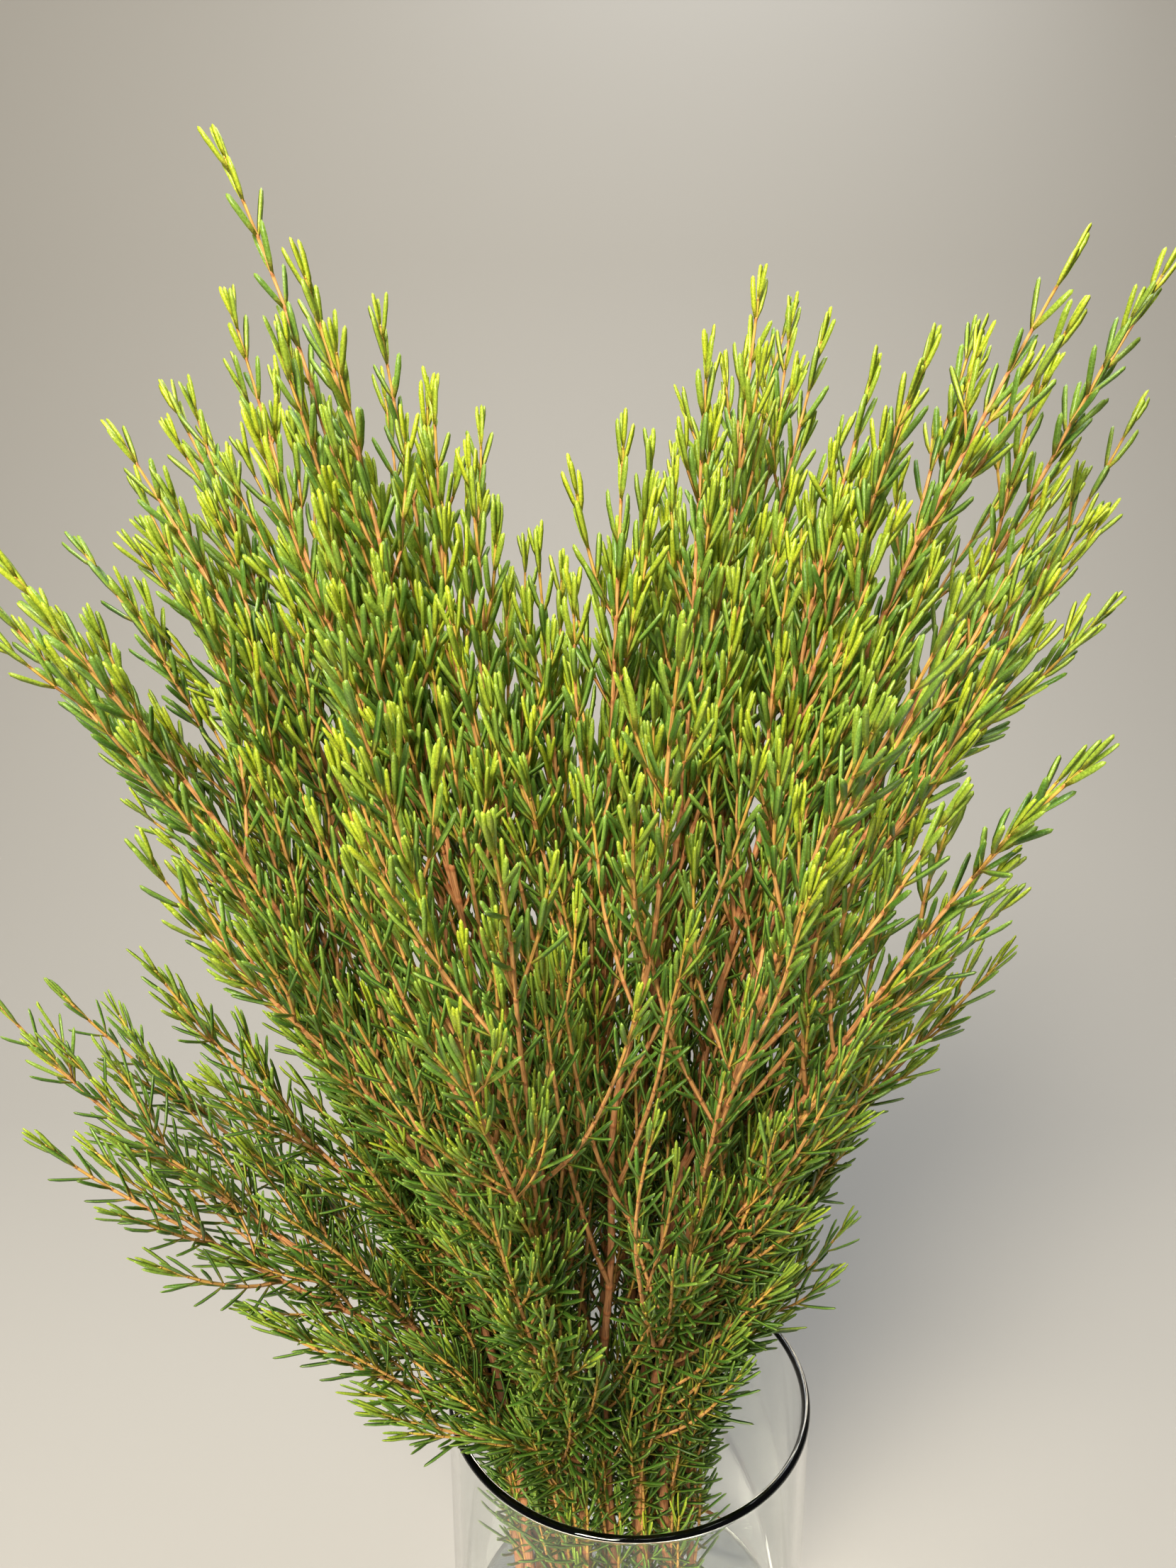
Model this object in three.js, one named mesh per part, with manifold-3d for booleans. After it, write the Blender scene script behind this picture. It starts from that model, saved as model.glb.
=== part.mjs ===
// A bunch of leafy waxflower stems standing in water in a clear glass cylinder vase.
// Millimetres, +Z up, origin at the centre of the vase's base, -Y is the front of the bunch.
// Each stem with its side shoots and needle leaves grew as one piece, so each is one solid.
import * as THREE from "three";
import { mergeVertices } from "three/addons/utils/BufferGeometryUtils.js";
import Module from "manifold-3d";

const wasm = await Module();
wasm.setup();

// Vase and water
const VASE_HEIGHT = 250;
const VASE_RADIUS = 75;
const VASE_WALL = 3.5;
const VASE_BASE = 10;
const VASE_SIDES = 36;
const FOOT_BEVEL = 2.5;
const FLOOR_FILLET = 5;
const WATER_LEVEL = 120;
const GAP = 0.4;

// Stems, from the cut foot in the water up to the leading tip
const NECK_CENTRE = { x: -15, y: -5 };
const NECK_RADIUS = 42;
const NECK_SPACING = 8.6;
const WIDEST_LEAN = 0.65;
const FOOT_SPREAD = 0.8;
const SHOULDER_RISE = 15;
const NECK_LEAN = 0.35;
const TIP_LEAN = 1.55;
const MOST_LEAN = 62;
const FOOT_GIRTH = 2.4;
const NECK_GIRTH = 2.0;
const LEAFY_GIRTH = 1.5;
const TIP_GIRTH = 0.9;
const KNOTS = 8;
const GROWTH_SEED = 1700;
const LEAF_SEED = 1001;

// Side shoots and needles
const ARM_TURN = 0.8;
const ARM_TIP_LEAN = 0.85;
const SHOOT_ANGLE = 36;
const OUTWARD_HOLD = 0.75;
const INWARD_LOSS = 0.4;
const HANGING_LOSS = 0.9;
const SHOOT_LONGEST = 175;
const SHOOT_SHORTEST = 55;
const SHOOT_KNOTS = [1, 2, 3, 4, 5];
const SHOOT_SEGMENTS = 3;
const NEEDLE_LENGTH = 14.5;
const NEEDLE_GIRTH = 0.9;
const NEEDLE_ROOT_DEPTH = 1.2;
const NEEDLE_ROOM = 0.35;
const SLIVER = 0.02;

// Each stem's leading tip, and the arms that leave it low down and reach as far as it does:
// x, y and rise above the vase's rim. An arm also gives the knot that it grows from.
const STEMS = [
  // the left half, with the tallest leader
  { tip: [-133, 10, 466], arms: [{ tip: [-139, 34, 415], knot: 3 }] },
  { tip: [-102, -25, 426], arms: [{ tip: [-115, -5, 410], knot: 4 }] },
  { tip: [-90, 35, 418], arms: [{ tip: [-70, 16, 393], knot: 3 }] },
  { tip: [-55, -15, 369] },
  { tip: [-178, 20, 377], arms: [{ tip: [-158, 45, 392], knot: 3 }] },
  {
    tip: [-196, -35, 338],
    arms: [
      { tip: [-221, -40, 198], knot: 0 },
      { tip: [-163, -45, 210], knot: 1 },
    ],
  },
  { tip: [-216, -20, 334], arms: [{ tip: [-199, -60, 152], knot: 0 }] },
  // the two short ones beside the gap in the middle
  { tip: [-34, 0, 341] },
  {
    tip: [-6, -25, 377],
    arms: [
      { tip: [-44, -50, 301], knot: 3 },
      { tip: [5, 0, 372], knot: 4 },
    ],
  },
  // the right half
  { tip: [39, 10, 424], arms: [{ tip: [22, -12, 402], knot: 3 }] },
  { tip: [68, 50, 414], arms: [{ tip: [58, 74, 424], knot: 4 }] },
  { tip: [89, -15, 403], arms: [{ tip: [70, -5, 392], knot: 3 }] },
  { tip: [133, -10, 432], arms: [{ tip: [118, 20, 400], knot: 3 }] },
  { tip: [171, 10, 431], arms: [{ tip: [178, 34, 386], knot: 3 }] },
  { tip: [138, 0, 360], arms: [{ tip: [170, 22, 318], knot: 5 }] },
  {
    tip: [123, -25, 226],
    arms: [
      { tip: [83, -10, 82], knot: 0 },
      { tip: [119, -45, 208], knot: 3 },
    ],
  },
  // the front
  {
    tip: [-79, -120, 325],
    arms: [
      { tip: [-132, -55, 77], knot: 0 },
      { tip: [-137, -100, 264], knot: 2 },
    ],
  },
  {
    tip: [-40, -145, 289],
    arms: [
      { tip: [-94, -60, 43], knot: 0 },
      { tip: [-46, -105, 160], knot: 0 },
      { tip: [-48, -140, 236], knot: 2 },
    ],
  },
  { tip: [6, -118, 330] },
  { tip: [112, -110, 296] },
  { tip: [68, -135, 340] },
  // the back
  { tip: [-179, 75, 394], arms: [{ tip: [-187, 60, 361], knot: 4 }] },
  {
    tip: [-207, 45, 338],
    arms: [
      { tip: [-213, -5, 180], knot: 0 },
      { tip: [-214, 12, 310], knot: 3 },
    ],
  },
  { tip: [-27, 140, 254] },
  { tip: [63, 100, 425], arms: [{ tip: [34, 92, 400], knot: 4 }] },
  { tip: [151, 80, 360] },
];

const COLOURS = {
  glass: { color: "#dfe6e6", roughness: 0.03, metalness: 0, transparent: true, opacity: 0.3 },
  water: { color: "#e4eceb", roughness: 0.02, metalness: 0, transparent: true, opacity: 0.4 },
  foliage: { color: "#6f8f3a", roughness: 0.5, metalness: 0 },
};

// A repeatable draw of numbers from 0 to 1.
function draws(seed) {
  let state = seed | 0;
  return () => {
    state = (state + 0x6d2b79f5) | 0;
    let mixed = Math.imul(state ^ (state >>> 15), 1 | state);
    mixed = (mixed + Math.imul(mixed ^ (mixed >>> 7), 61 | mixed)) ^ mixed;
    return ((mixed ^ (mixed >>> 14)) >>> 0) / 4294967296;
  };
}

const point = (x, y, z) => new THREE.Vector3(x, y, z);
const along = (a, direction, distance) => a.clone().addScaledVector(direction, distance);
const toward = (a, b) => b.clone().sub(a).normalize();
const mix = (a, b, share) => a.clone().lerp(b, share).normalize();

// ---- Solids ----

// A closed solid from a three.js geometry, without the triangles that collapse on an axis.
function solid(geometry) {
  const bare = geometry.clone();
  bare.deleteAttribute("normal");
  bare.deleteAttribute("uv");
  const merged = mergeVertices(bare, 1e-4);
  const kept = [];
  for (let i = 0; i < merged.index.count; i += 3) {
    const [a, b, c] = [0, 1, 2].map((k) => merged.index.getX(i + k));
    if (a !== b && b !== c && c !== a) kept.push(a, b, c);
  }
  const mesh = new wasm.Mesh({
    numProp: 3,
    vertProperties: merged.attributes.position.array,
    triVerts: new Uint32Array(kept),
  });
  return new wasm.Manifold(mesh);
}

function geometryOf(body) {
  const mesh = body.getMesh();
  const geometry = new THREE.BufferGeometry();
  geometry.setAttribute("position", new THREE.BufferAttribute(mesh.vertProperties, 3));
  geometry.setIndex(new THREE.BufferAttribute(mesh.triVerts, 1));
  return geometry;
}

// Two directions square to a shoot, from which its leaves and side shoots are turned.
function squareTo(direction) {
  const first = direction.clone().cross(point(0, 1, 0)).normalize();
  const second = direction.clone().cross(first);
  return [first, second];
}

// A cylinder's rings laid along a path: ring k has its centre at path[k] and the girth given.
function limb(path, girths, sides) {
  const last = path.length - 1;
  const geometry = new THREE.CylinderGeometry(1, 1, last, sides, last);
  const [first, second] = squareTo(toward(path[0], path[last]));
  const spot = geometry.attributes.position;
  for (let i = 0; i < spot.count; i += 1) {
    const ring = Math.round(spot.getY(i) + last / 2);
    const placed = along(path[ring], first, spot.getX(i) * girths[ring]);
    placed.addScaledVector(second, -spot.getZ(i) * girths[ring]);
    spot.setXYZ(i, placed.x, placed.y, placed.z);
  }
  return solid(geometry);
}

function turned(profile) {
  const outline = profile.map(([radius, height]) => new THREE.Vector2(radius, height));
  return new THREE.LatheGeometry(outline, VASE_SIDES).rotateX(Math.PI / 2);
}

// ---- Growth ----

function bezier(a, b, c, d, steps) {
  const curve = new THREE.CubicBezierCurve3(a, b, c, d);
  return curve.getPoints(steps);
}

// Where the stems pass the rim: each to the side that its tip leans to, then eased apart.
function neckPoints() {
  const necks = STEMS.map(({ tip: [x, y, rise] }) => {
    const lean = new THREE.Vector2(x - NECK_CENTRE.x, y - NECK_CENTRE.y).divideScalar(rise);
    const share = Math.min(1, lean.length() / WIDEST_LEAN) ** 0.6;
    return lean.setLength(NECK_RADIUS * share);
  });
  for (let round = 0; round < 80; round += 1) {
    for (let i = 0; i < necks.length; i += 1) {
      for (let j = 0; j < i; j += 1) {
        const apart = necks[i].clone().sub(necks[j]);
        const missing = NECK_SPACING - apart.length();
        if (missing > 0) {
          apart.setLength(missing / 2);
          necks[i].add(apart);
          necks[j].sub(apart);
        }
      }
    }
  }
  return necks;
}

// The direction with its lean from upright made larger or smaller by a factor.
function leant(direction, factor) {
  const across = point(direction.x, direction.y, 0).normalize();
  const most = THREE.MathUtils.degToRad(MOST_LEAN);
  const lean = Math.min(most, Math.acos(direction.z) * factor);
  return across.multiplyScalar(Math.sin(lean)).setZ(Math.cos(lean));
}

// A stem's middle line: straight up out of the foot, bent at the rim, then out to its tip.
function stemPath({ tip: [x, y, rise] }, offset) {
  const tip = point(x, y, VASE_HEIGHT + rise);
  const foot = point(offset.x * FOOT_SPREAD, offset.y * FOOT_SPREAD, VASE_BASE + 0.6);
  const neck = point(NECK_CENTRE.x + offset.x, NECK_CENTRE.y + offset.y, VASE_HEIGHT);
  const shoulder = foot.clone().lerp(neck, 0.5);
  shoulder.z = WATER_LEVEL + SHOULDER_RISE;
  const upward = toward(foot, shoulder);
  const leaning = mix(upward, toward(neck, tip), NECK_LEAN);
  const reach = neck.distanceTo(shoulder) / 3;
  const bend = bezier(
    shoulder, along(shoulder, upward, reach), along(neck, leaning, -reach), neck, 1);
  const span = neck.distanceTo(tip) / 3;
  const outward = leant(toward(neck, tip), TIP_LEAN);
  const rising = bezier(neck, along(neck, leaning, span), along(tip, outward, -span), tip, KNOTS);
  return { lower: [foot, ...bend.slice(0, 1)], upper: rising };
}

// Closest distance between two straight pieces, a to b and c to d.
function distanceBetween(a, b, c, d) {
  const u = b.clone().sub(a);
  const v = d.clone().sub(c);
  const w = a.clone().sub(c);
  const [uu, uv, vv, uw, vw] = [u.dot(u), u.dot(v), v.dot(v), u.dot(w), v.dot(w)];
  const cross = uu * vv - uv * uv;
  const clamp = (value) => Math.min(1, Math.max(0, value));
  let s = cross > 1e-9 ? clamp((uv * vw - vv * uw) / cross) : 0;
  const t = clamp((uv * s + vw) / vv);
  s = clamp((uv * t - uw) / uu);
  return along(a, u, s).distanceTo(along(c, v, t));
}

// Everything grown so far, as straight pieces with a girth, to bend later growth clear of it.
const grown = [];

function record(owner, path, girths) {
  for (let k = 1; k < path.length; k += 1) {
    grown.push({ owner, from: path[k - 1], to: path[k], girth: Math.max(girths[k - 1], girths[k]) });
  }
}

function clearOfVase(spot, room) {
  const radius = Math.hypot(spot.x, spot.y);
  const beside = radius < VASE_RADIUS - VASE_WALL - room || radius > VASE_RADIUS + room;
  return beside || spot.z > VASE_HEIGHT + room;
}

function isClear(owner, path, girths, room) {
  for (let k = 1; k < path.length; k += 1) {
    const girth = Math.max(girths[k - 1], girths[k]);
    for (const piece of grown) {
      if (piece.owner === owner) continue;
      const gap = distanceBetween(path[k - 1], path[k], piece.from, piece.to);
      if (gap < girth + piece.girth + room) return false;
    }
    for (let part = 0; part <= 4; part += 1) {
      const spot = path[k - 1].clone().lerp(path[k], part / 4);
      if (!clearOfVase(spot, girth + room)) return false;
    }
  }
  return true;
}

function taper(thick, thin, count) {
  return Array.from({ length: count }, (_, k) => THREE.MathUtils.lerp(thick, thin, k / (count - 1)));
}

// An arm: leaves its knot and curves out to a tip of its own.
function armPath(stem, arm) {
  const start = stem.upper[arm.knot];
  const [x, y, rise] = arm.tip;
  const tip = point(x, y, VASE_HEIGHT + rise);
  const straight = toward(start, tip);
  const leaving = mix(toward(start, stem.upper[arm.knot + 1]), straight, ARM_TURN);
  const rising = leant(straight, ARM_TIP_LEAN);
  const third = start.distanceTo(tip) / 3;
  return bezier(start, along(start, leaving, third), along(tip, rising, -third), tip, 4);
}

// A side shoot: leaves its knot at an angle that closes towards the tip, like a broom's twigs.
// One that turns into the bunch's shade, or hangs out below it, stays shorter.
function sideShoot(stem, knot, azimuth, length, angle) {
  const start = stem.upper[knot];
  const axis = toward(stem.upper[knot], stem.upper[knot + 1]);
  const [first, second] = squareTo(axis);
  const aside = first.multiplyScalar(Math.cos(azimuth)).addScaledVector(second, Math.sin(azimuth));
  const outward = point(start.x - NECK_CENTRE.x, start.y - NECK_CENTRE.y, 0).normalize();
  const held = 1 - OUTWARD_HOLD * Math.max(0, aside.dot(outward));
  const shaded = 1 - INWARD_LOSS * Math.max(0, -aside.dot(outward));
  const reach = length * shaded * (1 - HANGING_LOSS * Math.max(0, -aside.z));
  const lean = (share) => {
    const tilt = THREE.MathUtils.degToRad(angle * held * share);
    return axis.clone().multiplyScalar(Math.cos(tilt)).addScaledVector(aside, Math.sin(tilt));
  };
  const tip = along(start, lean(0.62), reach);
  return bezier(
    start, along(start, lean(1), reach / 3), along(tip, lean(0.35), -reach / 3), tip,
    SHOOT_SEGMENTS);
}

function growStems() {
  const necks = neckPoints();
  const stems = STEMS.map((plan, index) => {
    const path = stemPath(plan, necks[index]);
    const girths = [
      ...taper(FOOT_GIRTH, NECK_GIRTH, path.lower.length + 1).slice(0, -1),
      ...taper(NECK_GIRTH, LEAFY_GIRTH, path.upper.length).slice(0, -1),
      TIP_GIRTH,
    ];
    const all = [...path.lower, ...path.upper];
    record(index, all, girths);
    return { ...path, plan, index, main: { path: all, girths }, shoots: [] };
  });
  for (const stem of stems) growArms(stem);
  for (const stem of stems) growShoots(stem);
  return stems;
}

// A shoot swells a little above its joint, where its leaves crowd it, and thins to its tip.
function shootGirths(thick, count) {
  return [...taper(thick, LEAFY_GIRTH, count - 1), TIP_GIRTH];
}

function addShoot(stem, path, thick) {
  const girths = shootGirths(thick, path.length);
  record(stem.index, path, girths);
  stem.shoots.push({ path, girths });
}

function girthAt(stem, knot) {
  return stem.main.girths[stem.lower.length + knot];
}

function growArms(stem) {
  for (const arm of stem.plan.arms ?? []) {
    addShoot(stem, armPath(stem, arm), 0.75 * girthAt(stem, arm.knot));
  }
}

function growShoots(stem) {
  const random = draws(GROWTH_SEED + stem.index);
  const turn = random() * 2 * Math.PI;
  const reach = stem.upper[0].distanceTo(stem.upper[KNOTS]);
  for (const knot of SHOOT_KNOTS) {
    if (stem.plan.arms && knot === SHOOT_KNOTS.length) continue;
    const left = reach * (1 - knot / KNOTS);
    const wanted = (0.6 + 0.25 * random()) * left + 15;
    const length = THREE.MathUtils.clamp(wanted, SHOOT_SHORTEST, SHOOT_LONGEST);
    const angle = SHOOT_ANGLE + 10 * (random() - 0.5);
    const thick = 0.6 * girthAt(stem, knot);
    for (const swing of [0, 20, -20, 40, -40, 65, -65, 95, -95, 130, -130, 165]) {
      const azimuth = turn + THREE.MathUtils.degToRad(90 * knot + swing);
      const path = sideShoot(stem, knot, azimuth, length, angle);
      const girths = shootGirths(thick, path.length);
      if (isClear(stem.index, path, girths, 2 * GAP)) {
        addShoot(stem, path, thick);
        break;
      }
    }
  }
}

// ---- Needles ----

// Three-sided needle leaf: narrow where it is sunk in the twig, widest past its middle.
function needle(root, direction, length) {
  const marks = [-NEEDLE_ROOT_DEPTH, 0.6 * length, length];
  return { path: marks.map((mark) => along(root, direction, mark)), girths: [0, NEEDLE_GIRTH, 0] };
}

function spotOn(path, share) {
  const steps = path.slice(1).map((spot, k) => spot.distanceTo(path[k]));
  const total = steps.reduce((sum, step) => sum + step, 0);
  let left = share * total;
  let k = 0;
  while (k < steps.length - 1 && left > steps[k]) {
    left -= steps[k];
    k += 1;
  }
  const direction = toward(path[k], path[k + 1]);
  return { spot: along(path[k], direction, left), direction };
}

// Needles along one shoot: a pair at the tip, then one after another, each a quarter turn on.
function leafOut(stem, path, from, count, random) {
  const needles = [];
  const turn = random() * 2 * Math.PI;
  for (let k = 0; k < count; k += 1) {
    const atTip = k < 2;
    const share = atTip ? 0.985 : 1 - ((k - 1) * (1 - from)) / (count - 1);
    const { spot, direction } = spotOn(path, share);
    const [first, second] = squareTo(direction);
    const tilt = THREE.MathUtils.degToRad(atTip ? 16 : 30 + 25 * (1 - share));
    const step = atTip ? 180 : 90;
    for (const swing of [0, 30, -30, 60, -60, 90, -90]) {
      const azimuth = turn + THREE.MathUtils.degToRad(step * k + swing);
      const aside = first.clone().multiplyScalar(Math.cos(azimuth));
      aside.addScaledVector(second, Math.sin(azimuth));
      const pointing = direction.clone().multiplyScalar(Math.cos(tilt));
      pointing.addScaledVector(aside, Math.sin(tilt));
      const leaf = needle(spot, pointing, NEEDLE_LENGTH * (0.9 + 0.2 * random()));
      if (isClear(stem.index, leaf.path, leaf.girths, NEEDLE_ROOM)) {
        record(stem.index, leaf.path, leaf.girths);
        needles.push(leaf);
        break;
      }
    }
  }
  return needles;
}

function stemSolid(stem) {
  const random = draws(LEAF_SEED + stem.index);
  const needles = leafOut(stem, stem.upper, 0.12, 5, random);
  for (const shoot of stem.shoots) {
    needles.push(...leafOut(stem, shoot.path, 0.3, 3, random));
  }
  const wood = [limb(stem.main.path, stem.main.girths, 5)];
  for (const shoot of stem.shoots) wood.push(limb(shoot.path, shoot.girths, 3));
  const leaves = needles.map((leaf) => limb(leaf.path, leaf.girths, 3));
  return wasm.Manifold.union([...wood, ...leaves]).asOriginal().simplify(SLIVER);
}

// ---- Vase and water ----

function vaseGeometry() {
  const inner = VASE_RADIUS - VASE_WALL;
  const lip = VASE_WALL / 2;
  const profile = [
    [0, 0],
    [VASE_RADIUS - FOOT_BEVEL, 0],
    [VASE_RADIUS, FOOT_BEVEL],
  ];
  for (const turn of [0, 45, 90, 135, 180]) {
    const angle = THREE.MathUtils.degToRad(turn);
    profile.push([
      VASE_RADIUS - lip + lip * Math.cos(angle),
      VASE_HEIGHT - lip + lip * Math.sin(angle),
    ]);
  }
  profile.push([inner, VASE_BASE + FLOOR_FILLET], [inner - FLOOR_FILLET, VASE_BASE], [0, VASE_BASE]);
  return turned(profile);
}

// The water fills the vase to its level and has a plain hole for each stem that stands in it.
function waterSolid(stems) {
  const floor = VASE_BASE + GAP;
  const wall = VASE_RADIUS - VASE_WALL - GAP;
  const body = solid(turned([
    [0, floor],
    [wall - FLOOR_FILLET, floor],
    [wall, floor + FLOOR_FILLET],
    [wall, WATER_LEVEL],
    [0, WATER_LEVEL],
  ]));
  const holes = stems.map(({ lower: [foot, shoulder] }) => {
    const upward = toward(foot, shoulder);
    const ends = [along(foot, upward, -5), shoulder];
    const girth = (FOOT_GIRTH + GAP) / Math.cos(Math.PI / 6);
    return limb(ends, [girth, girth], 6);
  });
  return body.subtract(wasm.Manifold.union(holes));
}

// ---- The object ----

const materials = Object.fromEntries(
  Object.entries(COLOURS).map(([name, looks]) => [name, new THREE.MeshStandardMaterial(looks)]),
);

const bunch = new THREE.Group();

function add(name, geometry, material) {
  const mesh = new THREE.Mesh(geometry, material);
  mesh.name = name;
  bunch.add(mesh);
}

const stems = growStems();
add("vase", vaseGeometry(), materials.glass);
add("water", geometryOf(waterSolid(stems)), materials.water);
for (const stem of stems) {
  const number = String(stem.index + 1).padStart(2, "0");
  add(`leafy_stem_${number}`, geometryOf(stemSolid(stem)), materials.foliage);
}

export default bunch;
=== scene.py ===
# Looks of a bunch of leafy waxflower stems that stands in water in a clear glass cylinder vase.
# The glass is 150 mm across and 250 mm high, and its base rests on the floor at the origin.
import math

import bmesh
import bpy
import numpy as np
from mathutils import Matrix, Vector


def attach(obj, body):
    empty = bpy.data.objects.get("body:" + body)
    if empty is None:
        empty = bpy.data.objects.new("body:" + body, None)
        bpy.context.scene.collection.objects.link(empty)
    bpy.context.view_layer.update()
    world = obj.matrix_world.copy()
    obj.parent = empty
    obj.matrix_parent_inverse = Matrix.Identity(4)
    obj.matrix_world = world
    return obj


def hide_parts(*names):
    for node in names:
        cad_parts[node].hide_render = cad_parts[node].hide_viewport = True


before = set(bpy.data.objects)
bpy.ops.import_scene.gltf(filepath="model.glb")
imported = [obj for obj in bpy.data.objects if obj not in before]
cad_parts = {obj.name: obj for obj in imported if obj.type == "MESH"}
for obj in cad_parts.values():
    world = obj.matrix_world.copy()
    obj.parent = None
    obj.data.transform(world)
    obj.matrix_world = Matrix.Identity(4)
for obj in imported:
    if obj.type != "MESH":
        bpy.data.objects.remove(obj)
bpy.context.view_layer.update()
MM = 0.001


# ---- Camera ----
# It stands close in front of the bunch, well above the vase's rim, and looks slightly down through a
# wide lens. So the near shoots spread wide, and the vase runs out of view below its rim.
EYE = (-0.017, -0.406, 0.626)
LOOKS_DOWN_DEG = 15.9
LENS_MM = 27.05

bpy.ops.object.camera_add(location=EYE, rotation=(math.radians(90 - LOOKS_DOWN_DEG), 0, 0))
camera = bpy.context.object
camera.data.lens = LENS_MM
camera.data.sensor_width = 36
bpy.context.scene.camera = camera


# ---- Floor, backdrop and light ----
# A matt pale sheet of studio paper lies under the vase and curves up behind it. Large soft boxes light
# the bunch from above and from the front, as daylight from a high window would.
PAPER_WIDTH = 5.0
PAPER_FRONT = -1.6
PAPER_BACK = 1.5
PAPER_HEIGHT = 2.6
PAPER_CURVE = 0.9
PAPER_DROP = 0.0004


def linear(hex_colour):
    """An sRGB hex value as the linear colour that a shader takes."""
    shares = [int(hex_colour[k : k + 2], 16) / 255 for k in (1, 3, 5)]
    return (*[s / 12.92 if s <= 0.04045 else ((s + 0.055) / 1.055) ** 2.4 for s in shares], 1)


def new_material(name):
    """A material that holds only its output and a Principled shader, and its node tree."""
    material = bpy.data.materials.new(name)
    material.use_nodes = True
    shader = material.node_tree.nodes["Principled BSDF"]
    return material, material.node_tree, shader


def deselect():
    if bpy.context.object and bpy.context.object.mode != "OBJECT":
        bpy.ops.object.mode_set(mode="OBJECT")
    bpy.ops.object.select_all(action="DESELECT")


def pick(piece, kind, wanted):
    """In edit mode, selects the piece's faces, edges or vertices whose corners all pass a test."""
    bpy.ops.mesh.select_mode(type=kind)
    bpy.ops.mesh.select_all(action="DESELECT")
    shape = bmesh.from_edit_mesh(piece.data)
    for part in {"FACE": shape.faces, "EDGE": shape.edges, "VERT": shape.verts}[kind]:
        corners = [part] if kind == "VERT" else part.verts
        if all(wanted(corner.co) for corner in corners):
            part.select_set(True)
    bmesh.update_edit_mesh(piece.data)


deselect()
middle = (0, (PAPER_FRONT + PAPER_BACK) / 2, -PAPER_DROP)
bpy.ops.mesh.primitive_plane_add(size=1, location=middle)
paper = bpy.context.object
paper.name = "studio_paper"
paper.scale = (PAPER_WIDTH, PAPER_BACK - PAPER_FRONT, 1)
bpy.ops.object.transform_apply(location=True, rotation=True, scale=True)
bpy.ops.object.mode_set(mode="EDIT")
pick(paper, "EDGE", lambda co: co.y > PAPER_BACK - 0.01)
bpy.ops.mesh.extrude_region_move(TRANSFORM_OT_translate={"value": (0, 0, PAPER_HEIGHT)})
pick(paper, "EDGE", lambda co: co.y > PAPER_BACK - 0.01 and co.z < 0.01)
bpy.ops.mesh.bevel(offset=PAPER_CURVE, segments=32)
bpy.ops.object.mode_set(mode="OBJECT")
bpy.ops.object.shade_smooth()

paper_material, _, shader = new_material("matt_studio_paper")
shader.inputs["Base Color"].default_value = linear("#B0AFAB")
shader.inputs["Roughness"].default_value = 0.9
paper.data.materials.append(paper_material)


def soft_box(name, place, aim, size, power, colour):
    """A square soft light at a place, turned to face the aim."""
    bpy.ops.object.light_add(type="AREA", location=place)
    box = bpy.context.object
    box.name = name
    box.rotation_euler = (Vector(aim) - Vector(place)).to_track_quat("-Z", "Y").to_euler()
    box.data.size = size
    box.data.energy = power
    box.data.color = linear(colour)[:3]


soft_box("front_box", (-0.45, -1.2, 1.6), (0, 0, 0.45), 0.55, 62, "#FFF3E0")
soft_box("overhead_box", (0.1, 0.1, 1.9), (0, 0, 0.45), 0.9, 12, "#FFFFFF")
soft_box("back_box", (0.2, 1.15, 1.75), (0, 0, 0.4), 0.9, 11, "#F4F8FF")
world = bpy.data.worlds.new("studio_air")
world.use_nodes = True
world.node_tree.nodes["Background"].inputs["Color"].default_value = linear("#E8EAEE")
world.node_tree.nodes["Background"].inputs["Strength"].default_value = 0.09
bpy.context.scene.world = world
bpy.context.scene.view_settings.view_transform = "Standard"


# ---- Vase ----
# A thick-walled cylinder vase of clear soda-lime glass, machine drawn and cut to length. Its rim is
# fire-polished to a round bead, its foot has a small bevel, and its heavy base is flat.
GLASS_HEIGHT = 250 * MM
GLASS_RADIUS = 75 * MM
GLASS_WALL = 3.5 * MM
GLASS_BASE = 10 * MM
GLASS_SIDES = 128
RIM_ROUND = 1.72 * MM
FOOT_ROUND = 2.5 * MM
INNER_ROUND = 5 * MM
RING_GAP = 0.4 * MM


def at_radius(radius):
    return lambda co: abs(math.hypot(co.x, co.y) - radius) < 0.3 * MM


def smooth_by_angle(piece, degrees):
    deselect()
    piece.select_set(True)
    bpy.context.view_layer.objects.active = piece
    bpy.ops.object.shade_smooth_by_angle(angle=math.radians(degrees))


deselect()
bpy.ops.mesh.primitive_cylinder_add(
    vertices=GLASS_SIDES, radius=GLASS_RADIUS, depth=GLASS_HEIGHT, location=(0, 0, GLASS_HEIGHT / 2))
vase = bpy.context.object
vase.name = "glass_cylinder"
bpy.ops.object.transform_apply(location=True, rotation=True, scale=True)
bpy.ops.object.mode_set(mode="EDIT")
pick(vase, "FACE", lambda co: co.z > GLASS_HEIGHT - MM)
bpy.ops.mesh.inset(thickness=GLASS_WALL)
bpy.ops.mesh.extrude_region_move(TRANSFORM_OT_translate={"value": (0, 0, GLASS_BASE - GLASS_HEIGHT)})
inner_edge = at_radius(GLASS_RADIUS - GLASS_WALL)
pick(vase, "EDGE", lambda co: inner_edge(co) and co.z < GLASS_BASE + MM)
bpy.ops.mesh.bevel(offset=INNER_ROUND, segments=5)
pick(vase, "EDGE", lambda co: co.z < MM)
bpy.ops.mesh.bevel(offset=FOOT_ROUND, segments=4)
pick(vase, "EDGE", lambda co: co.z > GLASS_HEIGHT - 0.1 * MM and not inner_edge(co))
bpy.ops.mesh.bevel(offset=RIM_ROUND, segments=5)
pick(vase, "EDGE", lambda co: co.z > GLASS_HEIGHT - 0.1 * MM and inner_edge(co))
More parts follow.
